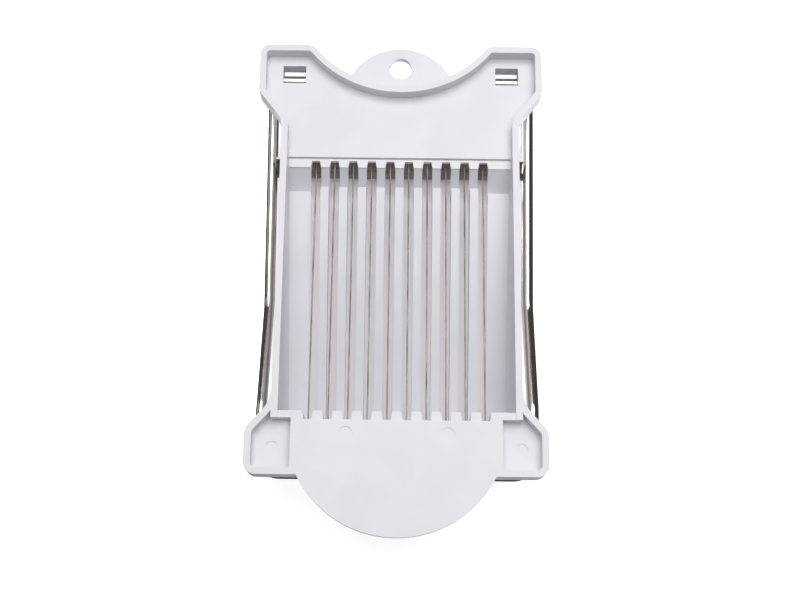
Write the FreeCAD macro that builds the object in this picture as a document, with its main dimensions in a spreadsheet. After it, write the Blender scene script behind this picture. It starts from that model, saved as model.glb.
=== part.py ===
import FreeCAD, Part
import math
import os
import Sketcher

# Luncheon-meat and egg slicer: a white moulded base with an inclined, slotted cradle, and a hinged
# rod frame that carries ten cutting wires. Millimetres. X runs across the slicer, Y along it from
# the thumb tab (-Y) to the hinge (+Y), Z up. The rim stands on Z = 0 and the origin is the middle
# of the footprint. The frame is drawn closed, with its wires down in the slots.

SIZES = [
    # The row of wires and the slots they drop into.
    ("wire_count", 10, "cutting wires, one slot each"),
    ("wire_pitch", 8.0, "from wire to wire"),
    ("wire_radius", 0.3, "cutting wire"),
    ("slot_width", 4.4, "slot between two ribs"),
    ("slot_mouth", 3.45, "slot between the teeth at either end"),
    ("slot_taper", 2.4, "length of the step from slot to mouth"),
    # Plan of the base.
    ("shelf_width", 7.8, "cradle floor outside the last slot"),
    ("side_draft", 2.1, "lean of the side wall's inner face, rim to top"),
    ("rim_wall", 2.8, "skirt and deck thickness"),
    ("foot_overhang", 10.3, "feet and corners beyond the waist"),
    ("thumb_reach", 24.4, "thumb tab beyond the front edge"),
    ("corner_depth", 23.0, "front corners, front edge to end wall"),
    ("end_wall", 3.0, "wall at the cradle's high end"),
    ("cradle_length", 98.3, "end wall to back-stop"),
    ("ridge_depth", 13.5, "back-stop ridge along Y"),
    ("hinge_deck", 50.1, "deck from the ridge to the rear edge"),
    ("hang_reach", 1.3, "hanging tab beyond the rear edge"),
    ("foot_side", 22.0, "straight side of a hinge foot"),
    ("foot_run", 13.1, "length of the slant from foot to waist"),
    ("flare_start", 6.7, "waist corner of the front flare, from the end wall"),
    ("flare_run", 11.1, "length of the front flare"),
    ("foot_corner", 4.5, "rear corner radius"),
    ("front_corner", 5.0, "front corner radius"),
    ("foot_blend", 10.0, "hollow radius between foot and waist"),
    ("foot_shoulder", 4.0, "round radius of the foot's slant"),
    ("flare_blend", 14.0, "hollow radius of the front flare"),
    ("flare_shoulder", 6.0, "round radius of the front flare"),
    ("bay_radius", 47.3, "concave bay in the rear edge"),
    ("bay_depth", 19.2, "depth of the bay"),
    ("bay_blend", 5.0, "round radius where the bay meets the rear edge"),
    # Heights of the base.
    ("deck_top", 8.8, "top of the decks"),
    ("floor_low", 14.7, "cradle floor at the back-stop"),
    ("floor_high", 38.0, "cradle floor at the end wall"),
    ("floor_skin", 2.4, "cradle floor thickness"),
    ("rib_depth", 8.5, "rib, floor top to rib underside"),
    ("side_lip", 4.0, "side walls above the floor"),
    ("end_lip", 1.4, "end wall above the floor"),
    ("wall_top", 3.0, "side wall thickness at the top"),
    # Back-stop ridge.
    ("ridge_rise", 7.3, "top of the back-stop above the cradle's low end"),
    ("ridge_wall", 2.5, "upright wall of the back-stop"),
    ("ridge_foot", 1.7, "ridge slant starts this far before the deck edge"),
    ("ridge_mouth", 4.3, "hollow under the ridge starts this far before the deck edge"),
    ("ridge_skin", 1.3, "skin between deck edge and ridge"),
    ("tooth_drop", 0.5, "teeth below that skin"),
    ("tooth_gap", 0.6, "teeth from the deck edge"),
    ("slot_inset", 1.4, "slots stop this far before the deck edge"),
    # Well, corners and tabs at the free end.
    ("plateau_half", 42.7, "half width of the raised foot under the well"),
    ("plateau_corner", 5.0, "corner radius of that foot"),
    ("plateau_gap", 0.5, "step between end wall and foot"),
    ("seat", 0.8, "how far one feature is sunk into the next"),
    ("tooth_lift", 0.6, "end wall's teeth above the rim"),
    ("tab_skin", 2.7, "thickness of the thumb tab and the well's floor"),
    ("thumb_radius", 44.9, "thumb tab"),
    ("hang_radius", 24.7, "hanging tab"),
    ("hang_hole", 4.85, "radius of the hanging hole"),
    ("hang_hole_in", 9.4, "hanging hole from the tab's end"),
    ("ejector_across", 20.6, "ejector-pin marks under the well, from the middle"),
    ("ejector_back", 6.2, "those marks from the end wall"),
    ("ejector_radius", 2.8, "ejector-pin mark"),
    ("ejector_depth", 0.35, "ejector-pin mark"),
    # Hinge lugs and the rod frame.
    ("rod_radius", 2.5, "frame rod"),
    ("rod_lift", 0.2, "gap between the rod and the decks"),
    ("arm_gap", 2.6, "gap between the waist and the arms"),
    ("pin_bend", 3.2, "bend radius from arm to hinge pin"),
    ("pin_clearance", 0.05, "radial clearance of the pin in its lug"),
    ("pin_end", 1.3, "pin beyond the lug"),
    ("pin_chamfer", 0.4, "chamfer on the pin's end"),
    ("hinge_inset", 12.4, "hinge axis from the rear edge"),
    ("lug_side", 1.2, "lug's side walls"),
    ("lug_wall", 1.5, "lug's front and rear walls"),
    ("lug_roof", 1.8, "lug's roof"),
    ("lug_hollow", 10.0, "width of the hollow under the lug"),
    ("hollow_front", 3.1, "hollow, hinge axis to front wall"),
    ("hollow_rear", 5.0, "hollow, hinge axis to rear wall"),
    ("hollow_head", 0.6, "hollow above the rod"),
    ("lug_round", 1.6, "rounding of the lug's roof"),
    ("elbow_height", 26.0, "arm's elbow, centre line"),
    ("elbow_reach", 54.0, "elbow from the end wall"),
    ("elbow_bend", 14.0, "bend radius of the elbow"),
    ("toe_reach", 6.5, "arm's lower bend from the end wall, towards the elbow"),
    ("toe_bend", 12.0, "bend radius of the lower bend"),
    ("front_bend", 8.5, "bend radius at the front corners"),
    ("front_inset", 2.2, "front bar's centre line from the front edge"),
    # Wire plates.
    ("plate_skin", 1.0, "plate thickness"),
    ("back_plate_gap", 0.2, "back plate's flange behind the deck edge"),
    ("back_plate_lift", 0.6, "back plate's flange above the deck"),
    ("back_flange", 3.2, "height of the upright flange"),
    ("back_slant", 8.0, "length of the slanted part"),
    ("back_angle", 135.0, "lean of the slanted part from +Y"),
    ("hole_edge", 1.1, "wire holes from the lower edge of a plate"),
    ("hole_clearance", 0.15, "radial clearance of a wire in its hole"),
    ("front_plate_gap", 4.7, "front plate from the end wall"),
    ("front_plate_lift", 1.3, "front plate above the well's floor"),
    ("front_plate_side", 4.0, "front plate inside the well's foot"),
    ("ear_height", 4.2, "ears that join the front plate to the arms"),
    ("plate_corner", 2.0, "corner radius of the plates"),
    ("stop_radius", 1.1, "crimped wire stop"),
    ("stop_length", 2.0, "crimped wire stop"),
    ("wire_tail", 0.4, "wire beyond its stop"),
    ("weld_length", 3.0, "weld bead, along the plate"),
    ("weld_height", 1.2, "weld bead, off the plate"),
    ("weld_reach", 1.6, "weld bead, from the rod onto the plate"),
]

# Places worked out from the sizes, each written once and read by every piece that uses it.
PLACES = [
    ("half_length", "(sizes.thumb_reach + sizes.corner_depth + sizes.end_wall + sizes.cradle_length"
                    " + sizes.ridge_depth + sizes.hinge_deck + sizes.hang_reach) / 2"),
    ("front_edge", "-half_length + sizes.thumb_reach"),
    ("wall_outer", "front_edge + sizes.corner_depth"),
    ("wall_inner", "wall_outer + sizes.end_wall"),
    ("stop_back", "wall_inner + sizes.cradle_length"),
    ("deck_edge", "stop_back + sizes.ridge_depth"),
    ("rear_edge", "deck_edge + sizes.hinge_deck"),
    ("row_half", "(sizes.wire_count - 1) / 2 * sizes.wire_pitch"),
    ("floor_half", "row_half + sizes.slot_width / 2 + sizes.shelf_width"),
    ("rim_half", "floor_half + sizes.side_draft"),
    ("waist_half", "rim_half + sizes.rim_wall"),
    ("foot_half", "waist_half + sizes.foot_overhang"),
    ("flare_corner", "wall_outer + sizes.flare_start"),
    ("slope", "(sizes.floor_high - sizes.floor_low) / sizes.cradle_length"),
    ("wall_height", "sizes.floor_high + sizes.side_lip"),
    ("deck_under", "sizes.deck_top - sizes.rim_wall"),
    ("ridge_under", "sizes.deck_top - sizes.ridge_skin"),
    ("ridge_top", "sizes.floor_low + sizes.ridge_rise"),
    ("ridge_slope", "(ridge_top - sizes.deck_top)"
                    " / (sizes.ridge_depth - sizes.ridge_foot)"),
    ("plateau_edge", "wall_outer - sizes.plateau_gap"),
    ("well_half", "sizes.plateau_half - sizes.rim_wall"),
    ("thumb_centre", "-half_length + sizes.thumb_radius"),
    ("hang_centre", "half_length - sizes.hang_radius"),
    ("hinge_y", "rear_edge - sizes.hinge_inset"),
    ("hinge_z", "sizes.deck_top + sizes.rod_lift + sizes.rod_radius"),
    ("arm_x", "waist_half + sizes.arm_gap + sizes.rod_radius"),
    ("lug_outer", "arm_x - sizes.pin_bend - 2 * sizes.pin_clearance"),
    ("lug_inner", "lug_outer - 2 * sizes.lug_side - sizes.lug_hollow"),
    ("hollow_top", "hinge_z + sizes.rod_radius + sizes.hollow_head"),
    ("front_bar", "front_edge + sizes.front_inset"),
    ("elbow_y", "wall_outer + sizes.elbow_reach"),
    ("toe_y", "wall_outer + sizes.toe_reach"),
    ("back_plate_y", "deck_edge + sizes.back_plate_gap"),
    ("back_plate_z", "sizes.deck_top + sizes.back_plate_lift"),
    ("front_plate_y", "wall_outer - sizes.front_plate_gap"),
    ("front_plate_z", "sizes.tab_skin + sizes.front_plate_lift"),
    ("front_plate_half", "sizes.plateau_half - sizes.front_plate_side"),
    ("plate_half", "arm_x - sizes.rod_radius"),
]

doc = FreeCAD.newDocument("egg_slicer")
sizes = doc.addObject("Spreadsheet::Sheet", "sizes")
for line, (alias, number, meaning) in enumerate(SIZES, start=1):
    sizes.set(f"A{line}", alias)
    sizes.set(f"B{line}", str(number))
    sizes.set(f"C{line}", meaning)
    sizes.setAlias(f"B{line}", alias)
doc.recompute()

places = doc.addObject("Spreadsheet::Sheet", "places")
for line, (alias, formula) in enumerate(PLACES, start=1):
    places.set(f"A{line}", alias)
    places.set(f"B{line}", "=" + formula)
    places.setAlias(f"B{line}", alias)
doc.recompute()


def size(alias):
    """A driving size, in millimetres."""
    return float(getattr(sizes, alias))


def place(alias):
    """A worked-out place, in millimetres."""
    return float(getattr(places, alias))


def value(expression):
    """The present value of an expression over the two sheets."""
    result = places.evalExpression(expression)
    return float(getattr(result, "Value", result))


def body(name):
    """An empty body whose label names its file."""
    item = doc.addObject("PartDesign::Body", name)
    item.Label = name
    return item


def sketch(owner, name, plane, lift="0"):
    """A sketch on one of the body's own origin planes, lifted along the plane's normal."""
    item = owner.newObject("Sketcher::SketchObject", name)
    face = next(part for part in owner.Origin.OriginFeatures if part.Role == plane)
    item.AttachmentSupport = [(face, "")]
    item.MapMode = "FlatFace"
    if lift != "0":
        item.setExpression("AttachmentOffset.Base.z", lift)
    return item


def pin_point(item, geometry, point, across, up):
    """Hold one point of a sketch at two expressions."""
    for kind, axis, expression in (("DistanceX", -2, across), ("DistanceY", -1, up)):
        if expression == "0":
            item.addConstraint(Sketcher.Constraint("PointOnObject", geometry, point, axis))
            continue
        rule = Sketcher.Constraint(kind, -1, 1, geometry, point, value(expression))
        item.setExpression(f"Constraints[{item.addConstraint(rule)}]", expression)


def outline(item, corners):
    """A closed outline of straight sides, each corner a pair of expressions."""
    spots = [FreeCAD.Vector(value(across), value(up), 0) for across, up in corners]
    first = item.GeometryCount
    for number, spot in enumerate(spots):
        item.addGeometry(Part.LineSegment(spot, spots[(number + 1) % len(spots)]), False)
    for number, (across, up) in enumerate(corners):
        following = (number + 1) % len(spots)
        meet = Sketcher.Constraint("Coincident", first + number, 2, first + following, 1)
        item.addConstraint(meet)
        pin_point(item, first + number, 1, across, up)


def rectangle(item, left, right, low, high):
    """An upright rectangle between four expressions."""
    outline(item, [(left, low), (right, low), (right, high), (left, high)])


def circle(item, across, up, radius):
    """A circle held at its centre and radius."""
    centre = FreeCAD.Vector(value(across), value(up), 0)
    ring = item.addGeometry(Part.Circle(centre, FreeCAD.Vector(0, 0, 1), value(radius)), False)
    pin_point(item, ring, 3, across, up)
    rule = Sketcher.Constraint("Radius", ring, value(radius))
    item.setExpression(f"Constraints[{item.addConstraint(rule)}]", radius)


def extrude(owner, kind, profile, length, middle=False, backwards=False):
    """A pad or pocket of one sketch."""
    item = owner.newObject(f"PartDesign::{kind}", f"{profile.Name}_{kind.lower()}")
    item.Profile = profile
    item.SideType = "Symmetric" if middle else "One side"
    item.Reversed = backwards
    item.setExpression("Length", length)
    doc.recompute()
    return item


def upright_edges(feature, spots, reach=0.6):
    """Names of the feature's edges along Z that stand on the given places in plan."""
    names = []
    for number, edge in enumerate(feature.Shape.Edges, start=1):
        box = edge.BoundBox
        if box.ZLength < 0.5 or box.XLength > 0.01 or box.YLength > 0.01:
            continue
        for across, along in spots:
            if abs(box.Center.x - across) < reach and abs(box.Center.y - along) < reach:
                names.append(f"Edge{number}")
                break
    return names


def fillet(owner, feature, names, radius, label):
    """A rounding of the named edges."""
    item = owner.newObject("PartDesign::Fillet", label)
    item.Base = (feature, names)
    item.setExpression("Radius", radius)
    doc.recompute()
    return item


def both_sides(across, along):
    """A place in plan and its mirror image across the slicer."""
    return [(across, along), (-across, along)]


def base_moulding():
    """The one-piece moulding, worked in the order that a mould maker would describe it."""
    base = body("base_moulding")
    base_tray(base)
    base_walls(base)
    base_floor(base)
    base_front(base)
    base_slots(base)
    base_lugs(base)
    base_tabs(base)
    return base


def base_tray(base):
    """The shallow upturned tray that every other feature grows from: skirt and decks."""
    plan = sketch(base, "tray_plan", "XY_Plane")
    side = [
        ("places.foot_half", "places.front_edge"),
        ("places.foot_half", "places.flare_corner - sizes.flare_run"),
        ("places.waist_half", "places.flare_corner"),
        ("places.waist_half", "places.rear_edge - sizes.foot_side - sizes.foot_run"),
        ("places.foot_half", "places.rear_edge - sizes.foot_side"),
        ("places.foot_half", "places.rear_edge"),
    ]
    mirrored = [(f"-{across}", along) for across, along in reversed(side)]
    outline(plan, side + mirrored)
    last = extrude(base, "Pad", plan, "sizes.deck_top")

    roundings = [
        ("sizes.front_corner", side[0]), ("sizes.flare_shoulder", side[1]),
        ("sizes.flare_blend", side[2]), ("sizes.foot_blend", side[3]),
        ("sizes.foot_shoulder", side[4]), ("sizes.foot_corner", side[5]),
    ]
    for number, (radius, (across, along)) in enumerate(roundings, start=1):
        corners = upright_edges(last, both_sides(value(across), value(along)))
        last = fillet(base, last, corners, radius, f"tray_rounding_{number}")

    bay = sketch(base, "bay_plan", "XY_Plane")
    circle(bay, "0", "places.rear_edge - sizes.bay_depth + sizes.bay_radius", "sizes.bay_radius")
    last = extrude(base, "Pocket", bay, "sizes.deck_top", backwards=True)
    rise = size("bay_radius") - size("bay_depth")
    half = math.sqrt(size("bay_radius") ** 2 - rise ** 2)
    corners = upright_edges(last, both_sides(half, place("rear_edge")))
    last = fillet(base, last, corners, "sizes.bay_blend", "bay_rounding")

    under = next(
        f"Face{number}" for number, face in enumerate(last.Shape.Faces, start=1)
        if face.BoundBox.ZMax < 0.01
    )
    shell = base.newObject("PartDesign::Thickness", "tray_shell")
    shell.Base = (last, [under])
    shell.setExpression("Value", "sizes.rim_wall")
    shell.Reversed = True
    shell.Join = "Intersection"
    doc.recompute()

    window = sketch(base, "cradle_window", "XY_Plane")
    rectangle(window, "-places.rim_half", "places.rim_half", "places.wall_inner",
              "places.deck_edge")
    extrude(base, "Pocket", window, "sizes.deck_top", backwards=True)


def base_walls(base):
    """Side walls and end wall: a tall block, trimmed to the slope and hollowed."""
    block = sketch(base, "wall_section", "XZ_Plane", "-places.wall_outer")
    top = "(places.floor_half + sizes.wall_top)"
    outline(block, [
        ("-places.waist_half", "0"), ("places.waist_half", "0"),
        ("places.waist_half", "sizes.deck_top"), (top, "places.wall_height"),
        ("-" + top, "places.wall_height"), ("-places.waist_half", "sizes.deck_top"),
    ])
    extrude(base, "Pad", block, "places.deck_edge - places.wall_outer", backwards=True)

    above = sketch(base, "above_walls", "YZ_Plane")
    sky = "places.wall_height + sizes.side_lip"
    outline(above, [
        ("places.deck_edge + sizes.seat", "sizes.deck_top"),
        ("places.deck_edge - sizes.ridge_foot", "sizes.deck_top"),
        ("places.stop_back", "places.ridge_top"),
        ("places.stop_back - (sizes.ridge_rise - sizes.side_lip) / places.slope",
         "places.ridge_top"),
        ("places.wall_inner", "places.wall_height"),
        ("places.wall_outer - sizes.seat", "places.wall_height"),
        ("places.wall_outer - sizes.seat", sky),
        ("places.deck_edge + sizes.seat", sky),
    ])
    extrude(base, "Pocket", above, "3 * places.waist_half", middle=True)

    notch = sketch(base, "above_end_wall", "YZ_Plane")
    rectangle(notch, "places.wall_outer - sizes.seat", "places.wall_inner + sizes.seat",
              "sizes.floor_high + sizes.end_lip", sky)
    extrude(base, "Pocket", notch, "2 * places.floor_half", middle=True)

    hollow = sketch(base, "cradle_hollow", "XZ_Plane", "-places.wall_inner")
    outline(hollow, [
        ("-places.rim_half", "0"), ("places.rim_half", "0"),
        ("places.floor_half", "places.wall_height"),
        ("-places.floor_half", "places.wall_height"),
    ])
    extrude(base, "Pocket", hollow, "places.deck_edge - places.wall_inner")


def sloping(base, name, depth, half_width):
    """A slab under the cradle's inclined surface."""
    side = sketch(base, name, "YZ_Plane")
    high = "sizes.floor_high + places.slope * sizes.seat"
    outline(side, [
        ("places.stop_back", "sizes.floor_low"),
        ("places.stop_back", f"sizes.floor_low - {depth}"),
        ("places.wall_inner - sizes.seat", f"{high} - {depth}"),
        ("places.wall_inner - sizes.seat", high),
    ])
    extrude(base, "Pad", side, f"2 * ({half_width})", middle=True)


def base_floor(base):
    """The inclined floor, the block its ribs are cut from, and the hollow back-stop ridge."""
    sloping(base, "floor_side", "sizes.floor_skin", "places.rim_half")
    sloping(base, "rib_side", "sizes.rib_depth", "places.row_half - sizes.slot_width / 2")

    ridge = sketch(base, "ridge_side", "YZ_Plane")
    sunk = "sizes.floor_low - sizes.floor_skin / 2"
    mouth = "places.deck_edge - sizes.ridge_mouth"
    outline(ridge, [
        ("places.deck_edge + sizes.seat", "places.ridge_under"),
        ("places.deck_edge + sizes.seat", "sizes.deck_top"),
        ("places.deck_edge - sizes.ridge_foot", "sizes.deck_top"),
        ("places.stop_back", "places.ridge_top"),
        ("places.stop_back - sizes.ridge_wall", "places.ridge_top"),
        ("places.stop_back - sizes.ridge_wall", sunk),
        ("places.stop_back", sunk),
        ("places.stop_back",
         "places.ridge_under + places.ridge_slope * (sizes.ridge_depth - sizes.ridge_mouth)"),
        (mouth, "places.ridge_under"),
    ])
    extrude(base, "Pad", ridge, "2 * places.rim_half", middle=True)

    teeth = sketch(base, "teeth_plan", "XY_Plane", "places.ridge_under - sizes.tooth_drop")
    rectangle(teeth, "-places.rim_half", "places.rim_half", mouth,
              "places.deck_edge - sizes.tooth_gap")
    extrude(base, "Pad", teeth, "sizes.tooth_drop + sizes.ridge_skin / 2")


def base_front(base):
    """The well that takes the front wire plate, its raised foot and the end wall's teeth."""
    foot = sketch(base, "foot_plan", "XY_Plane")
    rectangle(foot, "-sizes.plateau_half", "sizes.plateau_half", "places.front_edge",
              "places.plateau_edge")
    raised = extrude(base, "Pad", foot, "sizes.tab_skin")
    half = size("plateau_half")
    corners = upright_edges(raised, both_sides(half, place("plateau_edge")))
    fillet(base, raised, corners, "sizes.plateau_corner", "foot_rounding")

    block = sketch(base, "well_block", "XY_Plane", "sizes.tooth_lift")
    rectangle(block, "-sizes.plateau_half", "sizes.plateau_half", "places.front_edge",
              "places.wall_outer + sizes.seat")
    extrude(base, "Pad", block, "sizes.deck_top - sizes.tooth_lift")

    lift = sketch(base, "tooth_lift", "XY_Plane")
    rectangle(lift, "-places.rim_half", "places.rim_half", "places.wall_outer - sizes.seat",
              "places.wall_inner")
    extrude(base, "Pocket", lift, "sizes.tooth_lift", backwards=True)

    well = sketch(base, "well_plan", "XY_Plane", "sizes.tab_skin")
    rectangle(well, "-places.well_half", "places.well_half", "places.front_edge - sizes.seat",
              "places.wall_outer")
    extrude(base, "Pocket", well, "sizes.deck_top", backwards=True)


def base_slots(base):
    """One slot for each wire, straight through floor, ridge and end wall."""
    plan = sketch(base, "slot_plan", "XY_Plane")
    near = "-places.row_half"
    wide = "sizes.slot_width / 2"
    narrow = "sizes.slot_mouth / 2"
    low = [
        (narrow, "places.plateau_edge"),
        (narrow, "places.wall_inner - sizes.slot_taper"),
        (wide, "places.wall_inner"),
        (wide, "places.deck_edge - sizes.ridge_mouth"),
        (narrow, "places.deck_edge - sizes.ridge_mouth + sizes.slot_taper"),
        (narrow, "places.deck_edge - sizes.slot_inset"),
    ]
    right = [(f"{near} + {half}", along) for half, along in low]
    left = [(f"{near} - {half}", along) for half, along in reversed(low)]
    outline(plan, right + left)
    slot = extrude(base, "Pocket", plan, "places.wall_height", backwards=True)

    row = base.newObject("PartDesign::LinearPattern", "slot_row")
    row.Originals = [slot]
    row.Direction = (plan, ["H_Axis"])
    row.Mode = "Spacing"
    row.setExpression("Offset", "sizes.wire_pitch")
    row.setExpression("Occurrences", "sizes.wire_count")
    base.Tip = row
    doc.recompute()


def lug_rectangles(item, inner, outer, low, high):
    """The same rectangle on both hinge lugs."""
    rectangle(item, inner, outer, low, high)
    rectangle(item, f"-({outer})", f"-({inner})", low, high)


def base_lugs(base):
    """Two hollow lugs that hold the hinge pins, each open to the deck's underside."""
    solid = sketch(base, "lug_plan", "XY_Plane", "places.deck_under")
    lug_rectangles(solid, "places.lug_inner", "places.lug_outer",
                   "places.hinge_y - sizes.hollow_front - sizes.lug_wall",
                   "places.hinge_y + sizes.hollow_rear + sizes.lug_wall")
    lugs = extrude(base, "Pad", solid,
                   "places.hollow_top + sizes.lug_roof - places.deck_under")
    top = place("hollow_top") + size("lug_roof")
    roof = [
        f"Edge{number}" for number, edge in enumerate(lugs.Shape.Edges, start=1)
        if edge.BoundBox.ZMin > top - 0.01 and edge.BoundBox.YMin > place("deck_edge")
        and edge.BoundBox.XLength > 1
    ]
    fillet(base, lugs, roof, "sizes.lug_round", "lug_rounding")

    hollow = sketch(base, "lug_hollow", "XY_Plane")
    lug_rectangles(hollow, "places.lug_inner + sizes.lug_side",
                   "places.lug_outer - sizes.lug_side",
                   "places.hinge_y - sizes.hollow_front", "places.hinge_y + sizes.hollow_rear")
    extrude(base, "Pocket", hollow, "places.hollow_top", backwards=True)

    bore = sketch(base, "pin_bore", "YZ_Plane")
    circle(bore, "places.hinge_y", "places.hinge_z", "sizes.rod_radius + sizes.pin_clearance")
    extrude(base, "Pocket", bore, "2 * (places.lug_outer + sizes.seat)", middle=True)


def base_tabs(base):
    """The hanging tab with its hole, the thumb tab, and four faint ejector-pin marks."""
    hang = sketch(base, "hanging_tab", "XY_Plane", "places.deck_under")
    circle(hang, "0", "places.hang_centre", "sizes.hang_radius")
    extrude(base, "Pad", hang, "sizes.rim_wall")
    hole = sketch(base, "hanging_hole", "XY_Plane")
    circle(hole, "0", "places.half_length - sizes.hang_hole_in", "sizes.hang_hole")
    extrude(base, "Pocket", hole, "sizes.deck_top", backwards=True)

    thumb = sketch(base, "thumb_tab", "XY_Plane")
    chord = "places.front_edge + 2 * sizes.seat"
    rise = value(chord) - place("thumb_centre")
    radius = size("thumb_radius")
    half_turn = math.asin(rise / radius)
    ring = Part.Circle(FreeCAD.Vector(0, place("thumb_centre"), 0), FreeCAD.Vector(0, 0, 1), radius)
    arc = thumb.addGeometry(Part.ArcOfCircle(ring, math.pi - half_turn, 2 * math.pi + half_turn))
    across = radius * math.cos(half_turn)
    ends = [FreeCAD.Vector(side * across, value(chord), 0) for side in (1, -1)]
    line = thumb.addGeometry(Part.LineSegment(*ends))
    thumb.addConstraint(Sketcher.Constraint("Coincident", arc, 2, line, 1))
    thumb.addConstraint(Sketcher.Constraint("Coincident", line, 2, arc, 1))
    pin_point(thumb, arc, 3, "0", "places.thumb_centre")
    rule = Sketcher.Constraint("Radius", arc, radius)
    thumb.setExpression(f"Constraints[{thumb.addConstraint(rule)}]", "sizes.thumb_radius")
    thumb.addConstraint(Sketcher.Constraint("Horizontal", line))
    rule = Sketcher.Constraint("DistanceY", -1, 1, line, 1, value(chord))
    thumb.setExpression(f"Constraints[{thumb.addConstraint(rule)}]", chord)
    extrude(base, "Pad", thumb, "sizes.tab_skin")

    marks = [
        ("foot_marks", "0", "sizes.ejector_across", "places.wall_outer - sizes.ejector_back"),
        ("corner_marks", "places.deck_under",
         "(sizes.plateau_half + places.foot_half - sizes.rim_wall) / 2",
         "(places.front_edge + places.wall_outer) / 2"),
    ]
    for name, lift, out, along in marks:
        mark = sketch(base, name, "XY_Plane", lift)
        circle(mark, out, along, "sizes.ejector_radius")
        circle(mark, f"-{out}", along, "sizes.ejector_radius")
        extrude(base, "Pocket", mark, "sizes.ejector_depth", backwards=True)


def bent_rod(corners, radius, chamfer):
    """A round rod along straight runs, with a true bend at each inner corner (point, radius)."""
    pieces = []
    start = corners[0][0]
    for number in range(1, len(corners)):
        spot, bend = corners[number]
        run = (spot - start).normalize()
        if number == len(corners) - 1:
            pieces.append(Part.makeCylinder(radius, (spot - start).Length, start, run))
            break
        onward = (corners[number + 1][0] - spot).normalize()
        turn = run.getAngle(onward)
        tangent = bend * math.tan(turn / 2)
        entry = spot - run * tangent
        pieces.append(Part.makeCylinder(radius, (entry - start).Length, start, run))
        inward = (onward - run * run.dot(onward)).normalize()
        disc = Part.Face(Part.Wire(Part.makeCircle(radius, entry, run)))
        axis = run.cross(inward)
        pieces.append(disc.revolve(entry + inward * bend, axis, math.degrees(turn)))
        start = spot + onward * tangent
    rod = pieces[0].fuse(pieces[1:]).removeSplitter()
    tips = [
        edge for edge in rod.Edges
        if len(edge.Vertexes) == 1 and abs(edge.CenterOfMass.x) < abs(corners[0][0].x) + chamfer
        and edge.Curve.TypeId == "Part::GeomCircle" and edge.BoundBox.XLength < chamfer
    ]
    return rod.makeChamfer(chamfer, tips)


def frame_rod():
    """One rod: hinge pin, arm, front bar, arm, hinge pin, all bent from a single length."""
    arm = place("arm_x")
    hinge = (place("hinge_y"), place("hinge_z"))
    elbow = (place("elbow_y"), size("elbow_height"))
    toe = (place("toe_y"), place("hinge_z"))
    front = (place("front_bar"), place("hinge_z"))
    left = [
        (FreeCAD.Vector(-place("lug_inner") + size("pin_end"), *hinge), 0),
        (FreeCAD.Vector(-arm, *hinge), size("pin_bend")),
        (FreeCAD.Vector(-arm, *elbow), size("elbow_bend")),
        (FreeCAD.Vector(-arm, *toe), size("toe_bend")),
        (FreeCAD.Vector(-arm, *front), size("front_bend")),
    ]
    right = [(FreeCAD.Vector(-spot.x, spot.y, spot.z), bend) for spot, bend in reversed(left)]
    item = doc.addObject("Part::Feature", "frame_rod")
    item.Label = "frame_rod"
    item.Shape = bent_rod(left + right, size("rod_radius"), size("pin_chamfer"))
    return item


def wire_holes(plate, name, lift, depth):
    """A row of holes for the wires, drilled along Y through a plate."""
    drill = sketch(plate, name, "XZ_Plane")
    circle(drill, "-places.row_half", lift, "sizes.wire_radius + sizes.hole_clearance")
    hole = extrude(plate, "Pocket", drill, depth, middle=True)
    row = plate.newObject("PartDesign::LinearPattern", name + "_row")
    row.Originals = [hole]
    row.Direction = (drill, ["H_Axis"])
    row.Mode = "Spacing"
    row.setExpression("Offset", "sizes.wire_pitch")
    row.setExpression("Occurrences", "sizes.wire_count")
    plate.Tip = row
    doc.recompute()


def rear_wire_plate():
    """A bent strip: an upright flange that holds the wires, and a slant that reaches the arms."""
    plate = body("rear_wire_plate")
    side = sketch(plate, "strip_side", "YZ_Plane")
    skin = "sizes.plate_skin"
    run = "sizes.back_slant * cos(sizes.back_angle)"
    climb = "sizes.back_slant * sin(sizes.back_angle)"
    miter = "sizes.plate_skin * tan((sizes.back_angle - 90) / 2)"
    outline(side, [
        ("0", "0"), (skin, "0"), (skin, f"sizes.back_flange + {miter}"),
        (f"{skin} + {run}", f"sizes.back_flange + {miter} + {climb}"),
        (f"{skin} + {run} - sizes.plate_skin * sin(sizes.back_angle)",
         f"sizes.back_flange + {miter} + {climb} + sizes.plate_skin * cos(sizes.back_angle)"),
        ("0", "sizes.back_flange"),
    ])
    extrude(plate, "Pad", side, "2 * places.plate_half", middle=True)
    wire_holes(plate, "rear_hole", "sizes.hole_edge", "4 * sizes.plate_skin")
    plate.Placement.Base = FreeCAD.Vector(0, place("back_plate_y"), place("back_plate_z"))
    doc.recompute()
    return plate


def front_wire_plate():
    """A flat strip that dips into the well, with an ear at each end to reach the arms."""
    plate = body("front_wire_plate")
    face = sketch(plate, "strip_face", "XZ_Plane")
    ear_low = "places.hinge_z - sizes.ear_height / 2 - places.front_plate_z"
    ear_high = "places.hinge_z + sizes.ear_height / 2 - places.front_plate_z"
    cut = "sizes.plate_corner"
    right = [
        (f"places.front_plate_half - {cut}", "0"), ("places.front_plate_half", cut),
        ("places.front_plate_half", ear_low), ("places.plate_half", ear_low),
        ("places.plate_half", ear_high),
    ]
    left = [(f"-({across})", up) for across, up in reversed(right)]
    outline(face, right + left)
    extrude(plate, "Pad", face, "sizes.plate_skin")
    wire_holes(plate, "front_hole", "sizes.hole_edge", "4 * sizes.plate_skin")
    plate.Placement.Base = FreeCAD.Vector(0, place("front_plate_y"), place("front_plate_z"))
    doc.recompute()
    return plate


def wire_ends():
    """Where every wire crosses the outer face of each plate: rear, then front."""
    rear = (place("back_plate_y") + size("plate_skin"), place("back_plate_z") + size("hole_edge"))
    front = (place("front_plate_y") - size("plate_skin"),
             place("front_plate_z") + size("hole_edge"))
    return rear, front


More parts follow.
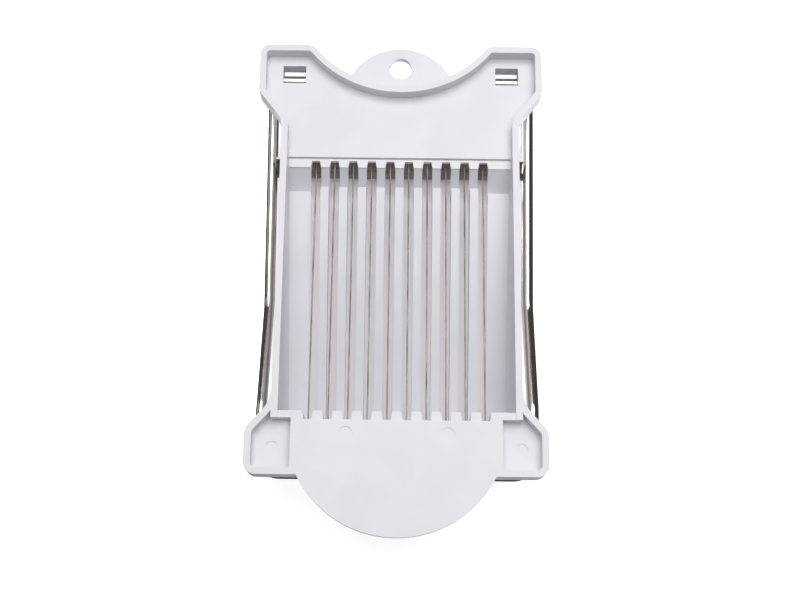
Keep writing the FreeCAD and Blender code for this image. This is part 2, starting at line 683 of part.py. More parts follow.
def wires():
    """The cutting wires: straight, taut, and evenly spaced."""
    rear, front = wire_ends()
    taut = FreeCAD.Vector(0, rear[0] - front[0], rear[1] - front[1])
    tail = size("stop_length") + size("wire_tail")
    way = FreeCAD.Vector(taut).normalize()
    made = []
    for number in range(int(size("wire_count"))):
        wire = doc.addObject("Part::Cylinder", f"wire_{number + 1:02d}")
        wire.Label = f"wire_{number + 1:02d}"
        wire.setExpression("Radius", "sizes.wire_radius")
        wire.Height = taut.Length + 2 * tail
        across = number * size("wire_pitch") - place("row_half")
        foot = FreeCAD.Vector(across, front[0], front[1]) - way * tail
        wire.Placement = FreeCAD.Placement(foot, FreeCAD.Rotation(FreeCAD.Vector(0, 0, 1), way))
        made.append(wire)
    doc.recompute()
    return made


def wire_stops(name, spot, outward, strands):
    """A row of crimped stops, each pressed on a wire and bearing on the plate."""
    stops = []
    for strand in strands:
        centre = FreeCAD.Vector(strand.Placement.Base.x, *spot)
        stop = Part.makeCylinder(size("stop_radius"), size("stop_length"), centre,
                                 FreeCAD.Vector(0, outward, 0))
        far = centre.y + outward * size("stop_length")
        rims = [edge for edge in stop.Edges if abs(edge.CenterOfMass.y - far) < 0.01
                and edge.BoundBox.YLength < 0.01]
        stops.append(stop.makeFillet(size("stop_radius") / 4, rims).cut(strand.Shape))
    item = doc.addObject("Part::Feature", name)
    item.Label = name
    item.Shape = Part.makeCompound([solid for stop in stops for solid in stop.Solids])
    return item


def weld_beads(rod):
    """Beads laid on the plates' outer faces, across the corner that each end makes with an arm."""
    hinge = FreeCAD.Vector(0, place("hinge_y"), place("hinge_z"))
    elbow = FreeCAD.Vector(0, place("elbow_y"), size("elbow_height"))
    lean = math.radians(size("back_angle"))
    skin = size("plate_skin")
    up_slant = FreeCAD.Vector(0, math.cos(lean), math.sin(lean))
    off_slant = FreeCAD.Vector(0, math.sin(lean), -math.cos(lean))
    fold = FreeCAD.Vector(0, place("back_plate_y") + skin, place("back_plate_z")
                          + size("back_flange") + skin * math.tan((lean - math.pi / 2) / 2))
    arm_run = hinge - elbow
    climb = -(fold - elbow).cross(arm_run).x / up_slant.cross(arm_run).x
    spots = [
        (fold + up_slant * climb, up_slant, off_slant),
        (FreeCAD.Vector(0, place("front_plate_y") - skin, hinge.z),
         FreeCAD.Vector(0, 0, 1), FreeCAD.Vector(0, -1, 0)),
    ]
    half, crown = size("weld_length") / 2, size("weld_length") / 4
    start = place("plate_half") - size("weld_reach")
    width = size("weld_reach") + size("rod_radius") / 2
    beads = []
    for side in (-1, 1):
        for spot, along, out in spots:
            top = out * size("weld_height")
            ends = [spot - along * half, spot + along * half,
                    spot + top + along * crown, spot + top - along * crown]
            ends = [end + FreeCAD.Vector(side * start, 0, 0) for end in ends]
            face = Part.Face(Part.makePolygon(ends + ends[:1]))
            beads.append(face.extrude(FreeCAD.Vector(side * width, 0, 0)).cut(rod.Shape))
    item = doc.addObject("Part::Feature", "weld_beads")
    item.Label = "weld_beads"
    item.Shape = Part.makeCompound([solid for bead in beads for solid in bead.Solids])
    return item


pieces = [base_moulding()]
rod = frame_rod()
plates = [rear_wire_plate(), front_wire_plate()]
strands = wires()
rear_spot, front_spot = wire_ends()
pieces += [rod] + plates + strands
pieces.append(wire_stops("rear_wire_stops", rear_spot, 1, strands))
pieces.append(wire_stops("front_wire_stops", front_spot, -1, strands))
pieces.append(weld_beads(rod))

doc.recompute()
for item in doc.Objects:
    if "Invalid" in item.State or "Error" in item.State:
        raise RuntimeError(f"{item.Label} failed: {item.State}")
for piece in pieces:
    if piece.Shape.isNull() or not piece.Shape.isValid():
        raise RuntimeError(f"{piece.Label} has no valid shape")

os.makedirs("parts", exist_ok=True)
for piece in pieces:
    piece.Shape.exportStep(f"parts/{piece.Label}.step")
    box = piece.Shape.BoundBox
    print(f"{piece.Label}: {len(piece.Shape.Solids)} solid(s), {piece.Shape.Volume:.1f} mm3, "
          f"{box.XLength:.1f} x {box.YLength:.1f} x {box.ZLength:.1f} mm")
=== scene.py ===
import math

import bmesh
import bpy
from mathutils import Matrix, Vector


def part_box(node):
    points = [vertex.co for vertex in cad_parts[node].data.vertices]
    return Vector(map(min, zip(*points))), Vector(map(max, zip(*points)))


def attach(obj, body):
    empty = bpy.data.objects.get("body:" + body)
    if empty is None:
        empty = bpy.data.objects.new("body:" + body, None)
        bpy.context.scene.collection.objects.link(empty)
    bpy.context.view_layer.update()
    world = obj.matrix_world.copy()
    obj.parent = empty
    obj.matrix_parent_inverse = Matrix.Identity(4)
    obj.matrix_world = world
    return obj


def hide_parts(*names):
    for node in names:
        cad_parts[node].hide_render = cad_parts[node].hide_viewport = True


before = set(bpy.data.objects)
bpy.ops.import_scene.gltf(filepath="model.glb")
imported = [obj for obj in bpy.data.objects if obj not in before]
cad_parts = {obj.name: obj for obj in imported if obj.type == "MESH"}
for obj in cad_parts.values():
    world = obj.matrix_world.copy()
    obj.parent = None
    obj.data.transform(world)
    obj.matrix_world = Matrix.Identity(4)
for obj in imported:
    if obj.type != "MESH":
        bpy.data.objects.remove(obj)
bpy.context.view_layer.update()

MM = 0.001


# Base: one white ABS injection moulding, a ribbed cradle on a skirt with two hinge lugs,
# a thumb tab and a hanging tab. It is ejected from a polished steel mould, so its faces
# are smooth and every edge has the small round that a cutter leaves in the cavity.
EDGE_ROUND = 0.3 * MM
ROUND_STEPS = 2
ROUND_FROM = math.radians(38)  # sharper than the facets of a moulded curve
SHARP_ANGLE = math.radians(35)
MERGE_GAP = 0.002 * MM
FLAT_WITHIN = math.radians(0.6)
FLAT_WEIGHT = 80


def merged_copy(node, name):
    """A new object with the node's shape, its loose triangles joined and its flats made whole."""
    shape = bmesh.new()
    shape.from_mesh(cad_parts[node].data)
    bmesh.ops.remove_doubles(shape, verts=shape.verts, dist=MERGE_GAP)
    bmesh.ops.dissolve_limit(shape, angle_limit=FLAT_WITHIN, verts=shape.verts,
                             edges=shape.edges, delimit=set())
    mesh = bpy.data.meshes.new(name)
    shape.to_mesh(mesh)
    shape.free()
    for layer in ("custom_normal", "sharp_face", "sharp_edge"):
        if layer in mesh.attributes:
            mesh.attributes.remove(mesh.attributes[layer])
    mesh.materials.clear()
    copy = bpy.data.objects.new(name, mesh)
    bpy.context.collection.objects.link(copy)
    return copy


def settle(thing, material, sharp=SHARP_ANGLE):
    """Applies the modifiers for good, shades the curved faces smooth, and gives the material.
    With no sharp angle, the shading that the modifiers made is kept."""
    thing.data.shade_smooth()
    bpy.context.view_layer.update()
    mesh = bpy.data.meshes.new_from_object(
        thing.evaluated_get(bpy.context.evaluated_depsgraph_get()))
    mesh.name = thing.name
    thing.modifiers.clear()
    thing.data = mesh
    if sharp:
        mesh.shade_smooth()
        mesh.set_sharp_from_angle(angle=sharp)
    mesh.materials.clear()
    mesh.materials.append(material)


def round_edges(thing, width):
    """A small round along every sharp edge, with the flat faces still shaded flat."""
    bevel = thing.modifiers.new("round", "BEVEL")
    bevel.width = width
    bevel.segments = ROUND_STEPS
    bevel.limit_method = "ANGLE"
    bevel.angle_limit = ROUND_FROM
    bevel.use_clamp_overlap = True
    bevel.miter_outer = "MITER_ARC"
    flats = thing.modifiers.new("keep_flats_flat", "WEIGHTED_NORMAL")
    flats.weight = FLAT_WEIGHT


def linear(hexcode):
    """A colour as the eye names it, in the linear light that shaders work in."""
    parts = [int(hexcode[i:i + 2], 16) / 255 for i in (1, 3, 5)]
    return [part / 12.92 if part < 0.04045 else ((part + 0.055) / 1.055) ** 2.4
            for part in parts] + [1.0]


def add(tree, kind, links=None, **settings):
    """Adds a node. A setting or a link names a property or a socket, with _ for a space."""
    node = tree.nodes.new(kind)
    for name, value in settings.items():
        if hasattr(node, name):
            setattr(node, name, value)
    sockets = {}
    for socket in reversed(node.inputs):
        sockets[socket.name.replace(" ", "_")] = sockets[socket.identifier] = socket
    for name, value in settings.items():
        if not hasattr(node, name):
            sockets[name].default_value = value
    for name, source in (links or {}).items():
        tree.links.new(source, sockets[name])
    return node


def new_material(name):
    """An empty material with its shader joined to its output."""
    material = bpy.data.materials.new(name)
    material.use_nodes = True
    tree = material.node_tree
    tree.nodes.clear()
    shader = add(tree, "ShaderNodeBsdfPrincipled")
    add(tree, "ShaderNodeOutputMaterial", {"Surface": shader.outputs["BSDF"]})
    return material, tree, shader


# Moulded ABS: a faintly cool white with a soft sheen. The eye finds slow clouding where the
# melt flowed, a fine satin from the cavity, and hairlines where the part slid on worktops.
ABS_WHITE = linear("#E6E5EA")
ABS_SHADE = linear("#E1E0E6")
FLOW_SIZE = 22 * MM
SATIN_SIZE = 0.6 * MM  # real satin is near 0.05 mm; drawn coarser so that it shows
HAIRLINE_GAP = 1.6 * MM
HAIRLINE_STRETCH = 20
SLIDE_ANGLE = math.radians(24)


def moulded_abs():
    material, tree, shader = new_material("moulded_white_abs")
    spot = add(tree, "ShaderNodeTexCoord").outputs["Object"]
    flow = add(tree, "ShaderNodeTexNoise", {"Vector": spot}, Scale=1 / FLOW_SIZE, Detail=3.0,
               Distortion=0.6)
    clouding = add(tree, "ShaderNodeMapRange", {"Value": flow.outputs["Fac"]},
                   From_Min=0.35, From_Max=0.65)
    tint = add(tree, "ShaderNodeMix", {"Factor_Float": clouding.outputs["Result"]},
               data_type="RGBA", A_Color=ABS_WHITE, B_Color=ABS_SHADE)
    tree.links.new(tint.outputs[2], shader.inputs["Base Color"])
    satin = add(tree, "ShaderNodeTexNoise", {"Vector": spot}, Scale=1 / SATIN_SIZE, Detail=2.0)
    slid = add(tree, "ShaderNodeMapping", {"Vector": spot},
               Scale=(1.0, 1 / HAIRLINE_STRETCH, 1.0), Rotation=(0.0, 0.0, SLIDE_ANGLE))
    hairlines = add(tree, "ShaderNodeTexNoise", {"Vector": slid.outputs["Vector"]},
                    Scale=1 / HAIRLINE_GAP, Detail=4.0, Roughness=0.7)
    scuffed = add(tree, "ShaderNodeMapRange", {"Value": hairlines.outputs["Fac"]},
                  From_Min=0.62, From_Max=0.7)
    gloss = add(tree, "ShaderNodeMapRange", {"Value": satin.outputs["Fac"]},
                From_Min=0.3, From_Max=0.7, To_Min=0.3, To_Max=0.38)
    rough = add(tree, "ShaderNodeMath", {
        "Value": scuffed.outputs["Result"], "Value_002": gloss.outputs["Result"]},
        operation="MULTIPLY_ADD", Value_001=0.08)
    tree.links.new(rough.outputs["Value"], shader.inputs["Roughness"])
    relief = add(tree, "ShaderNodeBump", {"Height": satin.outputs["Fac"]}, Strength=0.12,
                 Distance=0.02 * MM)
    tree.links.new(relief.outputs["Normal"], shader.inputs["Normal"])
    shader.inputs["IOR"].default_value = 1.54
    shader.inputs["Subsurface Weight"].default_value = 0.08
    shader.inputs["Subsurface Radius"].default_value = (0.9 * MM, 0.8 * MM, 0.8 * MM)
    shader.inputs["Subsurface Scale"].default_value = 1.0
    return material


base = merged_copy("base_moulding", "moulded_base")
round_edges(base, EDGE_ROUND)
settle(base, moulded_abs(), sharp=None)
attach(base, "base")
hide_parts("base_moulding")


# Cutter frame: one length of 5 mm mild steel rod, cut, bent cold in eight places and
# plated bright. The pins at its two ends turn in the lugs of the base.
ROD_RADIUS = 2.5 * MM
BEND_SIDES = 14
ROD_SIDES = 40
PIN_CHAMFER = 0.4 * MM
CHAMFER_STEPS = 3
PIN_TIP_X = 39.0 * MM
ELBOW_Y, ELBOW_Z = -5.4 * MM, 26.0 * MM
TOE_Y = -52.9 * MM
PIN_BEND, ELBOW_BEND, TOE_BEND, CORNER_BEND = 3.2 * MM, 14.0 * MM, 12.0 * MM, 8.5 * MM

rod_low, rod_high = (Vector(corner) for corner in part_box("frame_rod"))
arm_x = rod_high.x - ROD_RADIUS
hinge_y, hinge_z = rod_high.y - ROD_RADIUS, rod_low.z + ROD_RADIUS
bar_y = rod_low.y + ROD_RADIUS


def input_of(tree, name, kind, value):
    """A named input of a node group, with its usual value; returns its identifier."""
    socket = tree.interface.new_socket(name, in_out="INPUT", socket_type=kind)
    if value is not None:
        socket.default_value = value
    return socket.identifier


def grow(thing, tree, values):
    """Runs a node group on an object, its inputs set by identifier."""
    modifier = thing.modifiers.new(tree.name, "NODES")
    modifier.node_group = tree
    for identifier, value in values.items():
        modifier[identifier] = value


def swept_rod(finish):
    """Node group: a polyline becomes a rod with a round bend at each corner."""
    tree = bpy.data.node_groups.new("bent_rod", "GeometryNodeTree")
    input_of(tree, "Route", "NodeSocketGeometry", None)
    names = {
        "radius": input_of(tree, "Rod Radius", "NodeSocketFloat", ROD_RADIUS),
        "steps": input_of(tree, "Bend Sides", "NodeSocketInt", BEND_SIDES),
        "sides": input_of(tree, "Rod Sides", "NodeSocketInt", ROD_SIDES),
    }
    tree.interface.new_socket("Rod", in_out="OUTPUT", socket_type="NodeSocketGeometry")
    given = add(tree, "NodeGroupInput").outputs
    line = add(tree, "GeometryNodeMeshToCurve", {"Mesh": given["Route"]})
    bend = add(tree, "GeometryNodeInputNamedAttribute", data_type="FLOAT", Name="bend")
    bent = add(tree, "GeometryNodeFilletCurve", {
        "Curve": line.outputs["Curve"], "Count": given["Bend Sides"],
        "Radius": bend.outputs["Attribute"]}, mode="POLY", Limit_Radius=True)
    run = add(tree, "GeometryNodeSplineParameter")
    marked = add(tree, "GeometryNodeStoreNamedAttribute", {
        "Geometry": bent.outputs["Curve"], "Value": run.outputs["Length"]},
        data_type="FLOAT", domain="POINT", Name="along")
    ring = add(tree, "GeometryNodeCurvePrimitiveCircle", {
        "Resolution": given["Rod Sides"], "Radius": given["Rod Radius"]})
    spot = add(tree, "GeometryNodeInputPosition")
    rim = add(tree, "GeometryNodeStoreNamedAttribute", {
        "Geometry": ring.outputs["Curve"], "Value": spot.outputs["Position"]},
        data_type="FLOAT_VECTOR", domain="POINT", Name="rim")
    rod = add(tree, "GeometryNodeCurveToMesh", {
        "Curve": marked.outputs["Geometry"], "Profile_Curve": rim.outputs["Geometry"]},
        Fill_Caps=True)
    real = add(tree, "GeometryNodeRealizeInstances", {"Geometry": rod.outputs["Mesh"]})
    dressed = add(tree, "GeometryNodeSetMaterial", {"Geometry": real.outputs["Geometry"]},
                  Material=finish)
    add(tree, "NodeGroupOutput", {"Rod": dressed.outputs["Geometry"]})
    return tree, names


# Bright plated steel: bent rod keeps the long drawing lines under its plating, so highlights
# run in fine streaks along it, and the plating dulls to grey-brown clouds with washing.
PLATED = linear("#CFCBC6")
TARNISHED = linear("#A39A92")
DRAW_LINE_GAP = 0.25 * MM  # real lines are near 0.02 mm; drawn coarser so that they show
DRAW_LINE_STRETCH = 50
TARNISH_SIZE = 9 * MM


def plated_rod():
    material, tree, shader = new_material("bright_plated_steel_rod")
    along = add(tree, "ShaderNodeAttribute", attribute_name="along")
    rim = add(tree, "ShaderNodeAttribute", attribute_name="rim")
    split = add(tree, "ShaderNodeSeparateXYZ", {"Vector": rim.outputs["Vector"]})
    slowed = add(tree, "ShaderNodeMath", {"Value": along.outputs["Fac"]},
                 operation="DIVIDE", Value_001=DRAW_LINE_STRETCH)
    streak_at = add(tree, "ShaderNodeCombineXYZ", {
        "X": split.outputs["X"], "Y": split.outputs["Y"], "Z": slowed.outputs["Value"]})
    streaks = add(tree, "ShaderNodeTexNoise", {"Vector": streak_at.outputs["Vector"]},
                  Scale=1 / DRAW_LINE_GAP, Detail=3.0)
    spot = add(tree, "ShaderNodeTexCoord").outputs["Object"]
    cloud = add(tree, "ShaderNodeTexNoise", {"Vector": spot}, Scale=1 / TARNISH_SIZE,
                Detail=5.0, Roughness=0.6)
    dulled = add(tree, "ShaderNodeMapRange", {"Value": cloud.outputs["Fac"]},
                 From_Min=0.5, From_Max=0.8, To_Max=0.5)
    tint = add(tree, "ShaderNodeMix", {"Factor_Float": dulled.outputs["Result"]},
               data_type="RGBA", A_Color=PLATED, B_Color=TARNISHED)
    tree.links.new(tint.outputs[2], shader.inputs["Base Color"])
    fine = add(tree, "ShaderNodeMapRange", {"Value": streaks.outputs["Fac"]},
               From_Min=0.3, From_Max=0.7, To_Min=0.1, To_Max=0.2)
    rough = add(tree, "ShaderNodeMath", {
        "Value": dulled.outputs["Result"], "Value_002": fine.outputs["Result"]},
        operation="MULTIPLY_ADD", Value_001=0.12)
    tree.links.new(rough.outputs["Value"], shader.inputs["Roughness"])
    relief = add(tree, "ShaderNodeBump", {"Height": streaks.outputs["Fac"]}, Strength=0.15,
                 Distance=0.01 * MM)
    tree.links.new(relief.outputs["Normal"], shader.inputs["Normal"])
    shader.inputs["Metallic"].default_value = 1.0
    return material


rod_finish = plated_rod()
half_route = [
    ((-PIN_TIP_X, hinge_y, hinge_z), 0.0),
    ((-arm_x, hinge_y, hinge_z), PIN_BEND),
    ((-arm_x, ELBOW_Y, ELBOW_Z), ELBOW_BEND),
    ((-arm_x, TOE_Y, hinge_z), TOE_BEND),
    ((-arm_x, bar_y, hinge_z), CORNER_BEND),
]
route = half_route + [((-x, y, z), bend) for (x, y, z), bend in reversed(half_route)]
route_mesh = bpy.data.meshes.new("bent_frame_rod")
route_mesh.from_pydata([spot for spot, _ in route],
                       [(corner, corner + 1) for corner in range(len(route) - 1)], [])
bends = route_mesh.attributes.new("bend", "FLOAT", "POINT")
bends.data.foreach_set("value", [bend for _, bend in route])
rod = bpy.data.objects.new("bent_frame_rod", route_mesh)
bpy.context.collection.objects.link(rod)
rod_tree, rod_inputs = swept_rod(rod_finish)
grow(rod, rod_tree, {rod_inputs["radius"]: ROD_RADIUS, rod_inputs["steps"]: BEND_SIDES,
                     rod_inputs["sides"]: ROD_SIDES})
settle(rod, rod_finish)
shape = bmesh.new()
shape.from_mesh(rod.data)
bmesh.ops.remove_doubles(shape, verts=shape.verts, dist=MERGE_GAP)
rims = {edge for face in shape.faces if len(face.verts) == ROD_SIDES for edge in face.edges}
bmesh.ops.bevel(shape, geom=list(rims), offset=PIN_CHAMFER, segments=CHAMFER_STEPS, profile=0.5,
                affect="EDGES", clamp_overlap=True)
bmesh.ops.recalc_face_normals(shape, faces=shape.faces)
shape.to_mesh(rod.data)
shape.free()
rod.data.shade_smooth()
rod.data.set_sharp_from_angle(angle=SHARP_ANGLE)
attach(rod, "cutter_frame")
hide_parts("frame_rod")


# Wire plates: strips of 1 mm stainless sheet, blanked, pierced for the wires and brushed
# lengthwise. The rear one is folded once; the front one dips into the well of the base.
SHEAR_ROUND = 0.12 * MM

# Brushed stainless strip: fine lines along its length spread each highlight crosswise, warm
# grey against darker grey, and handling leaves slow patches where the sheen is duller.
BRUSHED = linear("#B9B2A8")
BRUSH_DARK = linear("#8E867C")
BRUSH_GAP = 0.35 * MM  # real lines are near 0.05 mm; drawn coarser so that they show
BRUSH_STRETCH = 50
SMUDGE_SIZE = 7 * MM


def brushed_strip():
    material, tree, shader = new_material("brushed_stainless_strip")
    spot = add(tree, "ShaderNodeTexCoord").outputs["Object"]
    stretched = add(tree, "ShaderNodeMapping", {"Vector": spot},
                    Scale=(1 / BRUSH_STRETCH, 1.0, 1.0))
    grain = add(tree, "ShaderNodeTexNoise", {"Vector": stretched.outputs["Vector"]},
                Scale=1 / BRUSH_GAP, Detail=5.0, Roughness=0.65)
    lines = add(tree, "ShaderNodeMapRange", {"Value": grain.outputs["Fac"]},
                From_Min=0.38, From_Max=0.62)
    tint = add(tree, "ShaderNodeMix", {"Factor_Float": lines.outputs["Result"]},
               data_type="RGBA", A_Color=BRUSHED, B_Color=BRUSH_DARK)
    tree.links.new(tint.outputs[2], shader.inputs["Base Color"])
    smudge = add(tree, "ShaderNodeTexNoise", {"Vector": spot}, Scale=1 / SMUDGE_SIZE, Detail=4.0)
    fine = add(tree, "ShaderNodeMapRange", {"Value": grain.outputs["Fac"]},
               From_Min=0.3, From_Max=0.7, To_Min=0.24, To_Max=0.4)
    rough = add(tree, "ShaderNodeMath", {
        "Value": smudge.outputs["Fac"], "Value_002": fine.outputs["Result"]},
        operation="MULTIPLY_ADD", Value_001=0.1)
    tree.links.new(rough.outputs["Value"], shader.inputs["Roughness"])
    relief = add(tree, "ShaderNodeBump", {"Height": grain.outputs["Fac"]}, Strength=0.25,
                 Distance=0.02 * MM)
    tree.links.new(relief.outputs["Normal"], shader.inputs["Normal"])
    shader.inputs["Metallic"].default_value = 1.0
    shader.inputs["Anisotropic"].default_value = 0.4
    return material


strip_finish = brushed_strip()
for node, name in (("rear_wire_plate", "rear_plate"), ("front_wire_plate", "front_plate")):
    plate = merged_copy(node, name)
    round_edges(plate, SHEAR_ROUND)
    settle(plate, strip_finish, sharp=None)
    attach(plate, "cutter_frame")
    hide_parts(node)


# Cutting wires: ten lengths of 0.6 mm stainless spring wire, drawn bright and stretched from
# plate to plate. Each passes through both plates and ends just beyond its crimped stop.
WIRE_COUNT = 10
WIRE_RADIUS = 0.3 * MM
WIRE_SIDES = 14
WIRE_SPANS = 24

# Drawn spring wire: bright from the die but too thin to show a highlight, so it reads as a
# dark grey line, broken by darker marks that the die drew out along it.
WIRE_STEEL = linear("#A5A19B")
WIRE_DARK = linear("#716D68")
DIE_MARK = 1.2 * MM
DIE_MARK_STRETCH = 10

first_low, first_high = (Vector(corner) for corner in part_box("wire_01"))
last_low, last_high = (Vector(corner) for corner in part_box(f"wire_{WIRE_COUNT:02d}"))
wire_first_x = (first_low.x + first_high.x) / 2
wire_pitch = ((last_low.x + last_high.x) / 2 - wire_first_x) / (WIRE_COUNT - 1)
wire_lean = math.atan2(first_high.z - first_low.z - 2 * WIRE_RADIUS,
                       first_high.y - first_low.y)
tip_rise = WIRE_RADIUS * math.cos(wire_lean)
tip_run = WIRE_RADIUS * math.sin(wire_lean)
wire_front = Vector((wire_first_x, first_low.y + tip_run, first_low.z + tip_rise))
wire_rear = Vector((wire_first_x, first_high.y - tip_run, first_high.z - tip_rise))


def drawn_wire():
    material, tree, shader = new_material("drawn_stainless_spring_wire")
    spot = add(tree, "ShaderNodeTexCoord").outputs["Object"]
    stretched = add(tree, "ShaderNodeMapping", {"Vector": spot},
                    Scale=(1.0, 1 / DIE_MARK_STRETCH, 1.0))
    marks = add(tree, "ShaderNodeTexNoise", {"Vector": stretched.outputs["Vector"]},
                Scale=1 / DIE_MARK, Detail=4.0)
    dark = add(tree, "ShaderNodeMapRange", {"Value": marks.outputs["Fac"]},
               From_Min=0.4, From_Max=0.65)
    tint = add(tree, "ShaderNodeMix", {"Factor_Float": dark.outputs["Result"]},
               data_type="RGBA", A_Color=WIRE_STEEL, B_Color=WIRE_DARK)
    tree.links.new(tint.outputs[2], shader.inputs["Base Color"])
    rough = add(tree, "ShaderNodeMapRange", {"Value": marks.outputs["Fac"]},
                From_Min=0.3, From_Max=0.7, To_Min=0.24, To_Max=0.38)
    tree.links.new(rough.outputs["Result"], shader.inputs["Roughness"])
    shader.inputs["Metallic"].default_value = 1.0
    return material


def wire_row(finish):
    """Node group: one drawn wire repeated across the row at an even pitch."""
    tree = bpy.data.node_groups.new("wire_row", "GeometryNodeTree")
    names = {
        "count": input_of(tree, "Count", "NodeSocketInt", WIRE_COUNT),
        "pitch": input_of(tree, "Pitch", "NodeSocketFloat", 0.0),
        "front": input_of(tree, "Front End", "NodeSocketVector", (0.0, 0.0, 0.0)),
        "rear": input_of(tree, "Rear End", "NodeSocketVector", (0.0, 0.0, 0.0)),
        "radius": input_of(tree, "Wire Radius", "NodeSocketFloat", WIRE_RADIUS),
    }
    tree.interface.new_socket("Wires", in_out="OUTPUT", socket_type="NodeSocketGeometry")
    given = add(tree, "NodeGroupInput").outputs
    line = add(tree, "GeometryNodeCurvePrimitiveLine", {
        "Start": given["Front End"], "End": given["Rear End"]})
    fine = add(tree, "GeometryNodeResampleCurve", {"Curve": line.outputs["Curve"]},
               Count=WIRE_SPANS)
    ring = add(tree, "GeometryNodeCurvePrimitiveCircle", {"Radius": given["Wire Radius"]},
               Resolution=WIRE_SIDES)
    wire = add(tree, "GeometryNodeCurveToMesh", {
        "Curve": fine.outputs["Curve"], "Profile_Curve": ring.outputs["Curve"]}, Fill_Caps=True)
    step = add(tree, "ShaderNodeCombineXYZ", {"X": given["Pitch"]})
    places = add(tree, "GeometryNodeMeshLine", {
        "Count": given["Count"], "Offset": step.outputs["Vector"]}, mode="OFFSET")
    row = add(tree, "GeometryNodeInstanceOnPoints", {
        "Points": places.outputs["Mesh"], "Instance": wire.outputs["Mesh"]})
    real = add(tree, "GeometryNodeRealizeInstances", {"Geometry": row.outputs["Instances"]})
    dressed = add(tree, "GeometryNodeSetMaterial", {"Geometry": real.outputs["Geometry"]},
                  Material=finish)
    add(tree, "NodeGroupOutput", {"Wires": dressed.outputs["Geometry"]})
    return tree, names


wire_finish = drawn_wire()
wires = bpy.data.objects.new("cutting_wires", bpy.data.meshes.new("cutting_wires"))
bpy.context.collection.objects.link(wires)
wires_tree, wires_inputs = wire_row(wire_finish)
grow(wires, wires_tree, {
    wires_inputs["count"]: WIRE_COUNT, wires_inputs["pitch"]: wire_pitch,
    wires_inputs["front"]: wire_front, wires_inputs["rear"]: wire_rear,
    wires_inputs["radius"]: WIRE_RADIUS})
settle(wires, wire_finish)
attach(wires, "cutter_frame")
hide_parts(*[f"wire_{number:02d}" for number in range(1, WIRE_COUNT + 1)])


# Wire stops: short sleeves of stainless tube, slid on each wire's end against the plate and
# nipped with a crimping tool, which leaves a waist with two flats and rounded lips.
STOP_RADIUS = 1.1 * MM
STOP_SIDES = 28
NIP_DEPTH = 0.22
NIP_REACH = 0.28
# The sleeve's outline: share of its length, and share of its full radius there.
SLEEVE_LINE = [(0.0, 0.55), (0.0, 0.86), (0.05, 0.95), (0.13, 1.0), (0.3, 0.97), (0.42, 0.86),
               (0.5, 0.82), (0.58, 0.86), (0.7, 0.97), (0.87, 1.0), (0.95, 0.95), (1.0, 0.86),
               (1.0, 0.55)]

# Crimped stainless sleeve: the tool's jaws leave it dull and finely pitted, so it glints in
# specks, and the pits hold dark dirt.
STOP_STEEL = linear("#BDBAB4")
STOP_DARK = linear("#857F79")
PIT_SIZE = 0.4 * MM


def crimped_steel():
    material, tree, shader = new_material("crimped_stainless_sleeve")
    spot = add(tree, "ShaderNodeTexCoord").outputs["Object"]
    pits = add(tree, "ShaderNodeTexNoise", {"Vector": spot}, Scale=1 / PIT_SIZE, Detail=4.0)
    dark = add(tree, "ShaderNodeMapRange", {"Value": pits.outputs["Fac"]},
               From_Min=0.42, From_Max=0.66)
    tint = add(tree, "ShaderNodeMix", {"Factor_Float": dark.outputs["Result"]},
               data_type="RGBA", A_Color=STOP_STEEL, B_Color=STOP_DARK)
    tree.links.new(tint.outputs[2], shader.inputs["Base Color"])
    rough = add(tree, "ShaderNodeMapRange", {"Value": pits.outputs["Fac"]},
                From_Min=0.3, From_Max=0.7, To_Min=0.22, To_Max=0.38)
    tree.links.new(rough.outputs["Result"], shader.inputs["Roughness"])
    relief = add(tree, "ShaderNodeBump", {"Height": pits.outputs["Fac"]}, Strength=0.3,
                 Distance=0.03 * MM)
    tree.links.new(relief.outputs["Normal"], shader.inputs["Normal"])
    shader.inputs["Metallic"].default_value = 1.0
    return material


def sleeve(low, high):
    """One closed sleeve round the first wire, waisted where the tool nipped it."""
    length, wire_z = high.y - low.y, (low.z + high.z) / 2
    shape = bmesh.new()
    loops = []
    for share, breadth in SLEEVE_LINE:
        nip = NIP_DEPTH * max(0.0, 1 - abs(share - 0.5) / NIP_REACH)
        loop = []
        for side in range(STOP_SIDES):
            turn = 2 * math.pi * side / STOP_SIDES
            loop.append(shape.verts.new((
                wire_first_x + math.cos(turn) * STOP_RADIUS * min(1.0, breadth + nip),
                low.y + share * length,
                wire_z + math.sin(turn) * STOP_RADIUS * breadth * (1 - nip))))
        loops.append(loop)
    for loop, after in zip(loops, loops[1:]):
        for side in range(STOP_SIDES):
            follow = (side + 1) % STOP_SIDES
            shape.faces.new((loop[side], after[side], after[follow], loop[follow]))
    shape.faces.new(loops[0])
    shape.faces.new(list(reversed(loops[-1])))
    bmesh.ops.recalc_face_normals(shape, faces=shape.faces)
    mesh = bpy.data.meshes.new("sleeve")
    shape.to_mesh(mesh)
    shape.free()
    return mesh


